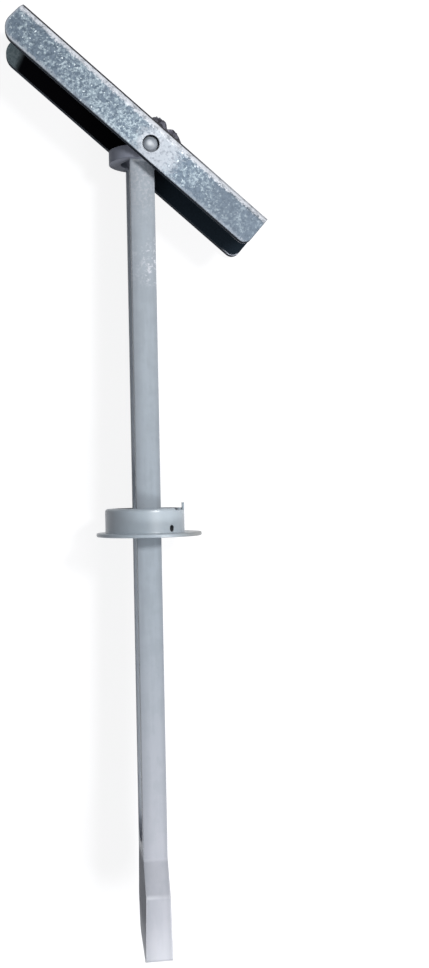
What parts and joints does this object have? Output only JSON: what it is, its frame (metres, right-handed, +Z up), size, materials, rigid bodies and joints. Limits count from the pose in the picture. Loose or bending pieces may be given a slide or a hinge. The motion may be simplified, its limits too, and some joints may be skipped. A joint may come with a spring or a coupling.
{
  "type": "drywall anchor",
  "caption": "Strap toggle anchor for drywall: a pivoting steel channel with a threaded neck, a forked plastic strap with a pull tab, and a flanged collar that slides along the strap.",
  "frame": {"origin": "on the surface it lies on, below the middle of its bounding box", "axes": "+Z up from the surface it lies on; +Y along the strap, from the pull tab to the steel channel; +X towards the side on which the channel's web lies when it folds down"},
  "size_m": [0.0404, 0.146, 0.0176],
  "materials": {
    "zinc_steel": "zinc plated, mottled satin",
    "strap_plastic": "natural nylon, translucent, satin",
    "collar_plastic": "natural nylon, translucent, satin"
  },
  "bodies": {
    "strap_body": {"strap": "strap_plastic"},
    "channel_body": {"toggle_channel": "zinc_steel"},
    "collar_body": {"collar": "collar_plastic"}
  },
  "joints": [
    {"name": "toggle_pivot", "type": "hinge", "parent": "strap_body", "child": "channel_body", "pos_m": [0.00175, 0.0519, 0.00609], "axis": [-0.0314, -0.0363, -0.9988], "range_deg": [-40.8, 49.2]},
    {"name": "collar_slide", "type": "slide", "parent": "strap_body", "child": "collar_body", "axis": [-0.0006, 0.9993, -0.0363], "range_m": [-0.0448, 0.0334]}
  ]
}
